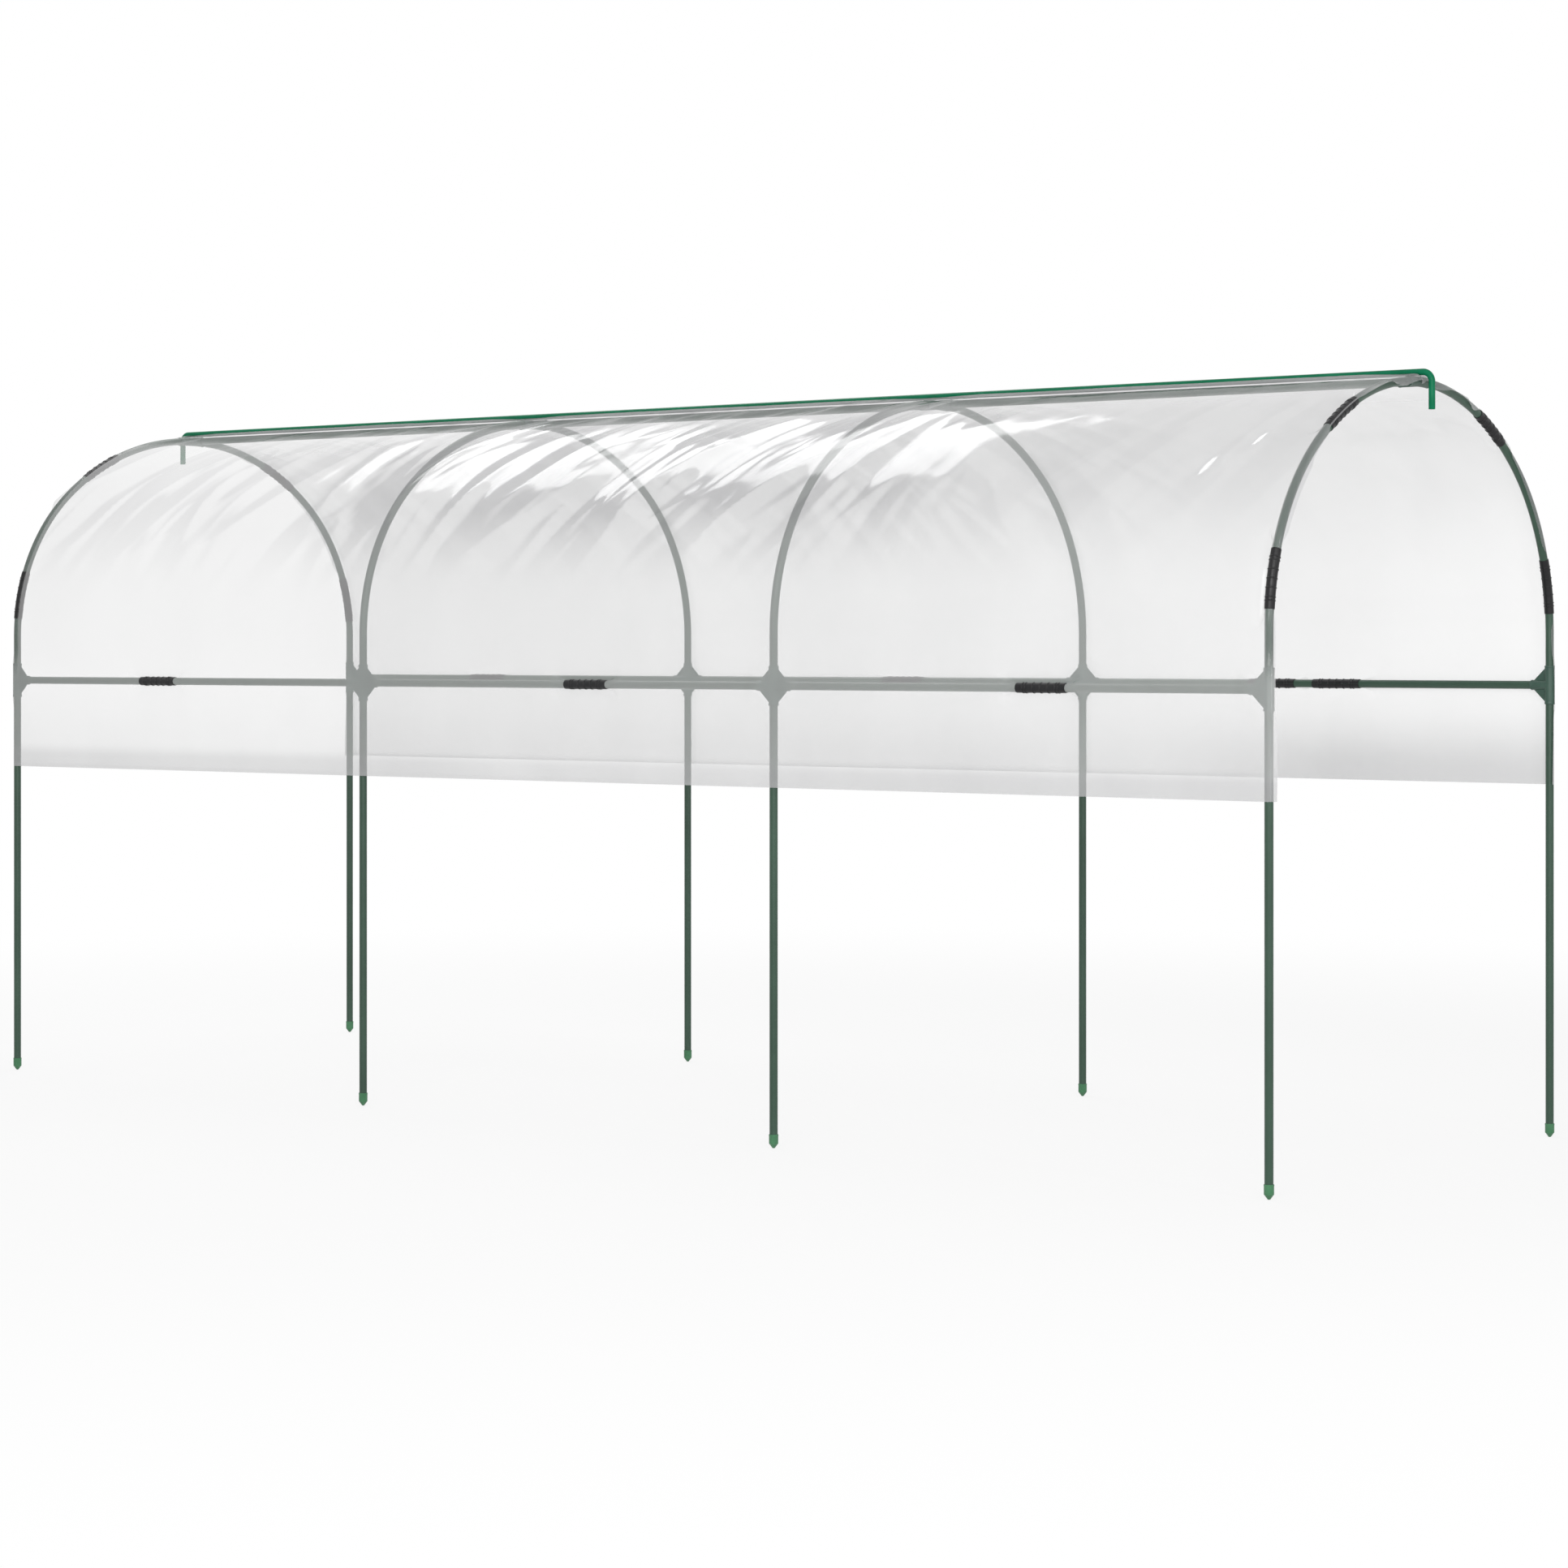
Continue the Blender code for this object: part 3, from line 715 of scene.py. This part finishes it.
def film_sheet(shade):
    """The film as one sheet of quads, with its shades."""
    columns, rows = film_lines()
    places = [(u, along) for u in columns for along in rows]
    count = len(rows)
    faces = [
        (i * count + j, (i + 1) * count + j, (i + 1) * count + j + 1, i * count + j + 1)
        for i in range(len(columns) - 1)
        for j in range(count - 1)
    ]
    film = piece("film_sheet", [film_point(*place) for place in places], faces, shade, sharp=0)
    for name, shade_at in FILM_SHADES.items():
        values = film.data.attributes.new(name, "FLOAT", "POINT").data
        values.foreach_set("value", [shade_at(*place) for place in places])
    return film


# Materials

def new_material(name, colour, roughness, **values):
    """Material with these values on its shader; an underscore in a value's name is a space."""
    made = bpy.data.materials.new(name)
    made.use_nodes = True
    shader = made.node_tree.nodes["Principled BSDF"]
    shader.inputs["Base Color"].default_value = (*colour, 1)
    shader.inputs["Roughness"].default_value = roughness
    for socket, value in values.items():
        shader.inputs[socket.replace("_", " ")].default_value = value
    return made


def node(owner, kind, inputs=(), **settings):
    """New node of a material or world, with its inputs set or linked."""
    made = owner.node_tree.nodes.new(kind)
    for name, value in settings.items():
        setattr(made, name, value)
    for socket, value in dict(inputs).items():
        if isinstance(value, bpy.types.NodeSocket):
            owner.node_tree.links.new(value, made.inputs[socket])
        else:
            made.inputs[socket].default_value = value
    return made


def link(material, output, socket):
    shader = material.node_tree.nodes["Principled BSDF"]
    material.node_tree.links.new(output, shader.inputs[socket])


def noise_of(material, scale, detail=4.0, stretch=(1, 1, 1), roughness=0.5):
    place = node(material, "ShaderNodeTexCoord").outputs["Object"]
    mapped = node(material, "ShaderNodeMapping", {"Vector": place, "Scale": stretch}).outputs[0]
    settings = {"Vector": mapped, "Scale": scale, "Detail": detail, "Roughness": roughness}
    return node(material, "ShaderNodeTexNoise", settings).outputs["Fac"]


def ramp(material, factor, stops):
    """Colour ramp through the stops, each a place and a colour or a grey level."""
    made = node(material, "ShaderNodeValToRGB", {"Fac": factor})
    while len(made.color_ramp.elements) < len(stops):
        made.color_ramp.elements.new(0.5)
    for element, (place, colour) in zip(made.color_ramp.elements, stops):
        element.position = place
        element.color = (colour, colour, colour, 1) if isinstance(colour, float) else (*colour, 1)
    return made.outputs["Color"]


def bump(material, height, distance, strength):
    inputs = {"Height": height, "Distance": distance, "Strength": strength}
    return node(material, "ShaderNodeBump", inputs).outputs["Normal"]


def weighted(material, total, *parts):
    """The total and each part's value times its share."""
    for value, share in parts:
        inputs = {0: value, 1: share, 2: total}
        total = node(material, "ShaderNodeMath", inputs, operation="MULTIPLY_ADD").outputs[0]
    return total


def coated_steel():
    made = new_material("coated_steel", (0.028, 0.074, 0.046), 0.36)
    broad = noise_of(made, 6.0, 3)
    fine = noise_of(made, 340.0, 3)
    greens = [(0.30, (0.020, 0.057, 0.034)), (0.72, (0.031, 0.079, 0.049))]
    link(made, ramp(made, broad, greens), "Base Color")
    wear = noise_of(made, 45.0, 6, roughness=0.7)
    link(made, ramp(made, wear, [(0.35, 0.28), (0.75, 0.46)]), "Roughness")
    link(made, bump(made, fine, 0.00004, 0.6), "Normal")
    return made


def moulded_plastic(name, dark, light, rough=(0.36, 0.52), grain=900.0, gloss=0.5):
    made = new_material(name, dark, sum(rough) / 2, Specular_IOR_Level=gloss)
    link(made, ramp(made, noise_of(made, 30.0, 4), [(0.32, dark), (0.70, light)]), "Base Color")
    wear = noise_of(made, 120.0, 5, roughness=0.7)
    link(made, ramp(made, wear, [(0.35, rough[0]), (0.70, rough[1])]), "Roughness")
    link(made, bump(made, noise_of(made, grain, 2), 0.00005, 0.6), "Normal")
    return made


def film_material():
    """Clear film: darker and hazier with painted shade on its top and in its creases, and towards its
    lower edge.
    """
    made = new_material("film_clear", (0.80, 0.80, 0.805), 0.10, Alpha=0.34, IOR=1.75)
    shaded_top_and_hem, painted_crease_shade, clear, thick = [
        node(made, "ShaderNodeAttribute", attribute_name=name).outputs["Fac"]
        for name in ("painted_top_shade_and_hem", "painted_crease_shade", "clarity_and_painted_highlight", "doubled")
    ]
    cloud = {"Value": noise_of(made, 2.6, 5, (1, 1, 0.5), 0.6), "From Min": 0.3, "From Max": 0.7}
    cloud = node(made, "ShaderNodeMapRange", cloud).outputs[0]
    # Painted shade darkens the base colour on the top and in the creases, along with the clouds, the
    # clear stretches and the lower edge.
    darkening_by_shade_and_tone = weighted(made, 0.0, (shaded_top_and_hem, 0.32), (cloud, 0.20), (painted_crease_shade, 0.80), (clear, 0.75))
    greys = [(0.0, (0.87, 0.87, 0.87)), (1.0, (0.42, 0.42, 0.43))]
    link(made, ramp(made, darkening_by_shade_and_tone, greys), "Base Color")
    # The painted shade also makes the film more opaque on the top and in the creases.
    opacity_with_painted_shade = [(shaded_top_and_hem, 0.30), (cloud, 0.12), (painted_crease_shade, 0.45), (clear, -0.29), (thick, 0.60)]
    opacity_with_painted_shade = weighted(made, 0.30, *opacity_with_painted_shade)
    link(made, ramp(made, opacity_with_painted_shade, [(0.0, 0.16), (0.30, 0.32), (1.0, 0.64)]), "Alpha")
    link(made, ramp(made, noise_of(made, 9.0, 4), [(0.35, 0.08), (0.70, 0.14)]), "Roughness")
    ripples = noise_of(made, 9.0, 2, (1, 1, 0.6), 0.45)
    link(made, bump(made, ripples, 0.003, 0.3), "Normal")
    return made


# Building

def stand_for(obj, *nodes, slot, body="frame"):
    """Let the object show these CAD nodes, on their body."""
    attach(obj, body)
    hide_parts(*nodes)


def side_distance(distance, side):
    """Distance along the hoop of a place this far from its front or back tip."""
    return distance if side == "front" else HOOP_END - distance


def bow_distances():
    """Distances of a bow tube's sections from one rail to the other, over the top."""
    half = [RAIL_HEIGHT + GAP / 2, LEG_STRAIGHT]
    half += steps(LEG_STRAIGHT, SHOULDER_END, 0.016)[1:]
    half += steps(SHOULDER_END, HOOP_MIDDLE, 0.018)[1:]
    return half + [HOOP_END - place for place in reversed(half[:-1])]


def cap_profile():
    """Heights and radii of a stake cap: blunt tip, cone, wall with a rim, and the bore inside."""
    rim = CAP_RADIUS + 0.0003
    return [
        (0, 0.0018), (0.0006, CAP_TIP_RADIUS + 0.0004),
        (CAP_CONE - 0.0008, CAP_RADIUS - 0.0009), (CAP_CONE - 0.0002, CAP_RADIUS - 0.0002),
        (CAP_CONE + 0.0006, CAP_RADIUS), (0.0262, CAP_RADIUS),
        (0.0268, rim), (0.0294, rim), (CAP_LENGTH, CAP_RADIUS - 0.0002),
        (CAP_LENGTH, BORE_RADIUS), (CAP_CONE, BORE_RADIUS), (CAP_CONE - 0.0001, 0.001),
    ]


def build_hoops(steel, cap_shade):
    leg_heights = steps(CAP_CONE + GAP, RAIL_HEIGHT - GAP / 2, 0.1)
    cap_heights, cap_radii = zip(*cap_profile())
    for hoop, letter in enumerate(LETTERS):
        x = hoop_x(hoop)
        bow = tube(f"bow_{letter}", [hoop_station(place, x) for place in bow_distances()], steel)
        stand_for(bow, f"bow_tube_{letter}", slot="coated_steel")
        for side in ("front", "back"):
            leg_line, cap_line = [
                [hoop_station(side_distance(height, side), x) for height in heights]
                for heights in (leg_heights, cap_heights)
            ]
            leg = tube(f"leg_tube_{letter}_{side}", leg_line, steel)
            stand_for(leg, f"leg_{letter}_{side}", slot="coated_steel")
            name = f"stake_cap_{letter}_{side}"
            cap = bar(name, cap_line, cap_shade, cap_radii, sides=40, sharp=30)
            stand_for(cap, f"leg_cap_{letter}_{side}", slot="cap_plastic")


def build_connectors(plastic):
    """Crosses on the middle hoops and Ts on the end hoops, whose arm points into the tunnel."""
    last = HOOPS - 1
    for kind, middle in (("rail", RAIL_HEIGHT), ("ridge", HOOP_MIDDLE)):
        tee, cross = connector(middle, (1,)), connector(middle, (1, -1))
        for hoop, letter in enumerate(LETTERS):
            x = hoop_x(hoop)
            shape = tee if hoop in (0, last) else cross
            if kind == "ridge":
                mesh = moved(shape, x, hoop == last)
                obj = piece_of(f"ridge_fitting_{letter}", mesh, plastic, sharp=50)
                stand_for(obj, f"ridge_connector_{letter}", slot="connector_plastic")
                continue
            for side in ("front", "back"):
                turned = side == "back"
                mesh = shape
                if shape is tee and (hoop == last) != turned:
                    mesh = moved(shape, 0, False)
                    mesh.transform(Matrix.Scale(-1, 4, X))
                    mesh.flip_normals()
                mesh = moved(mesh, x, turned)
                obj = piece_of(f"rail_fitting_{letter}_{side}", mesh, plastic, sharp=50)
                stand_for(obj, f"rail_connector_{letter}_{side}", slot="connector_plastic")


def build_rails(steel, black):
    """Rail and ridge tubes, and the sleeves on the rails."""
    for bay in range(HOOPS - 1):
        letters = LETTERS[bay : bay + 2]
        span = steps(hoop_x(bay) + RAIL_INSET, hoop_x(bay + 1) - RAIL_INSET, 0.1)
        ridge = tube(f"ridge_{letters}", [ridge_station(x) for x in span], steel)
        stand_for(ridge, f"ridge_tube_{letters}", slot="coated_steel")
        for side, clips in RAIL_CLIPS.items():
            rail = tube(f"rail_{letters}_{side}", [rail_station(x, side) for x in span], steel)
            stand_for(rail, f"rail_tube_{letters}_{side}", slot="coated_steel")
            for number, share in enumerate(clips[bay], 1):
                name = f"{letters}_{side}_{number}"
                middle = hoop_x(bay) + share * BAY
                obj = clip(f"ribbed_clip_{name}", lambda s: rail_station(middle + s, side), black)
                stand_for(obj, f"film_clip_{name}", slot="clip_plastic")


def build_hoop_clips(black):
    for hoop in (0, HOOPS - 1):
        end = 1 if hoop else -1
        for height, middle in (("low", LOW_CLIP), ("high", HIGH_CLIP)):
            partings = hoop_partings(end, height == "high")
            for side in ("front", "back"):
                name = f"{LETTERS[hoop]}_{side}_{height}"
                place = side_distance(middle, side)
                obj = clip(
                    f"ribbed_clip_{name}", lambda s: hoop_station(place + s, hoop_x(hoop)),
                    black, partings,
                )
                stand_for(obj, f"film_clip_{name}", slot="clip_plastic")


def build_rod(green):
    """Rod along the ridge, which turns down past each end hoop."""
    top = arch(HOOP_MIDDLE)[0].z + ROD_RISE
    end = LENGTH / 2 + ROD_END
    half = [(Vector((x, 0, top)), Z) for x in steps(0, end - ROD_BEND, 0.1)[:-1]]
    bend_centre = Vector((end - ROD_BEND, 0, top - ROD_BEND))
    bend_steps = 12
    for i in range(bend_steps + 1):
        turn = math.pi / 2 * i / bend_steps
        out = Vector((math.sin(turn), 0, math.cos(turn)))
        half.append((bend_centre + ROD_BEND * out, out))
    tip = top + ROD_RADIUS - HOOK_DROP
    half += [(Vector((end, 0, tip + rise)), X) for rise in (0.03, 0.0008, 0.0002, 0)]
    flip = Matrix.Scale(-1, 3, X)
    path = [(flip @ centre, flip @ out) for centre, out in reversed(half[1:])] + half
    ends = [ROD_RADIUS - 0.0009, ROD_RADIUS - 0.0003, ROD_RADIUS]
    radii = ends + [ROD_RADIUS] * (len(path) - 2 * len(ends)) + ends[::-1]
    rod = bar("rod_with_hooks", [(centre, out, Y) for centre, out in path], green, radii)
    stand_for(rod, "hold_down_rod", slot="rod_steel", body="rod")


def build_film(shade):
    film = film_sheet(shade)
    supports = [f"bow_{letter}" for letter in LETTERS]
    supports += [f"ridge_{LETTERS[bay:bay + 2]}" for bay in range(HOOPS - 1)]
    stand_for(film, "film_cover", slot="film")


# Stage

def area_light(name, place, target, size, power):
    """Lamp that shines at the target, or straight down if there is none."""
    lamp = bpy.data.lights.new(name, "AREA")
    lamp.shape = "RECTANGLE"
    lamp.size, lamp.size_y = size
    lamp.energy = power
    obj = linked(name, lamp)
    obj.location = place
    if target:
        aim = Vector(target) - Vector(place)
        obj.rotation_euler = aim.to_track_quat("-Z", "Y").to_euler()


def seen_directly(owner):
    """1 for camera, glossy and transmission rays, which see plain white."""
    rays = node(owner, "ShaderNodeLightPath").outputs
    seen = {0: rays["Is Camera Ray"], 1: rays["Is Glossy Ray"]}
    seen = node(owner, "ShaderNodeMath", seen, operation="MAXIMUM").outputs[0]
    through = {0: seen, 1: rays["Is Transmission Ray"]}
    return node(owner, "ShaderNodeMath", through, operation="MAXIMUM").outputs[0]


def build_world(ambient):
    """White behind everything, and ambient light of this strength."""
    world = bpy.data.worlds.new("studio")
    bpy.context.scene.world = world
    world.use_nodes = True
    back = world.node_tree.nodes["Background"]
    back.inputs["Color"].default_value = (1, 1, 1, 1)
    level = {"Value": seen_directly(world), "To Min": ambient, "To Max": 1.0}
    level = node(world, "ShaderNodeMapRange", level).outputs[0]
    world.node_tree.links.new(level, back.inputs["Strength"])


def build_floor():
    """Floor with a faint shadow near the part, which fades to plain white further out."""
    made = new_material("studio_floor", (0.95, 0.95, 0.95), 0.9, Specular_IOR_Level=0.0)
    nodes = made.node_tree.nodes
    place = node(made, "ShaderNodeTexCoord").outputs["Object"]
    away = node(made, "ShaderNodeVectorMath", {0: place}, operation="LENGTH").outputs["Value"]
    fade = {"Value": away, "From Min": 2.0, "From Max": 6.0, "To Min": 0.84, "To Max": 1.0}
    share = node(made, "ShaderNodeMapRange", fade, interpolation_type="SMOOTHSTEP").outputs[0]
    white = {0: seen_directly(made), 1: share}
    white = node(made, "ShaderNodeMath", white, operation="MULTIPLY").outputs[0]
    glow = node(made, "ShaderNodeEmission").outputs[0]
    mixed = {0: white, 1: nodes["Principled BSDF"].outputs[0], 2: glow}
    mixed = node(made, "ShaderNodeMixShader", mixed).outputs[0]
    made.node_tree.links.new(mixed, nodes["Material Output"].inputs[0])
    reach = 60.0
    verts = [(-reach, -reach, 0), (reach, -reach, 0), (reach, reach, 0), (-reach, reach, 0)]
    floor = piece("studio_floor", verts, [(0, 1, 2, 3)], made, sharp=0)
    floor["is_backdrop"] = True


def build_camera():
    """The camera that was fitted to the photograph: level, with its view shifted down."""
    camera = bpy.data.cameras.new("camera")
    camera.lens = 86.34
    camera.sensor_width = 36
    camera.shift_y = -0.0857
    obj = linked("camera", camera)
    obj.location = (5.651, -6.993, 1.0783)
    obj.rotation_euler = (math.pi / 2, 0, 0.6644)
    bpy.context.scene.camera = obj


bpy.context.scene.view_settings.view_transform = "Standard"
steel = coated_steel()
build_hoops(steel, moulded_plastic("cap_green", (0.040, 0.170, 0.072), (0.070, 0.238, 0.112)))
build_connectors(moulded_plastic("connector_green", (0.028, 0.070, 0.050), (0.042, 0.094, 0.068)))
black = moulded_plastic(
    "clip_black", (0.007, 0.007, 0.008), (0.015, 0.015, 0.016), rough=(0.30, 0.46), gloss=0.28
)
build_rails(steel, black)
build_hoop_clips(black)
build_rod(moulded_plastic(
    "rod_green", (0.003, 0.150, 0.066), (0.005, 0.186, 0.086),
    rough=(0.28, 0.42), grain=400.0, gloss=0.12,
))
build_film(film_material())
build_floor()
build_world(ambient=0.38)
area_light("front_soft", (5.2, -6.8, 3.6), (0.6, -0.3, 0.8), (6.0, 3.4), 360)
area_light("overhead_left", (-3.00, 0.9, 4.5), None, (0.9, 2.6), 31)
area_light("overhead_right", (-1.75, 0.9, 4.5), None, (1.1, 2.6), 39)
area_light("side_strip", (6.8, -1.6, 2.2), (1.8, -0.4, 1.2), (0.45, 3.4), 40)
build_camera()
plain = [[[float(value) for value in corner] for corner in box] for box in (cad_box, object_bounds())]
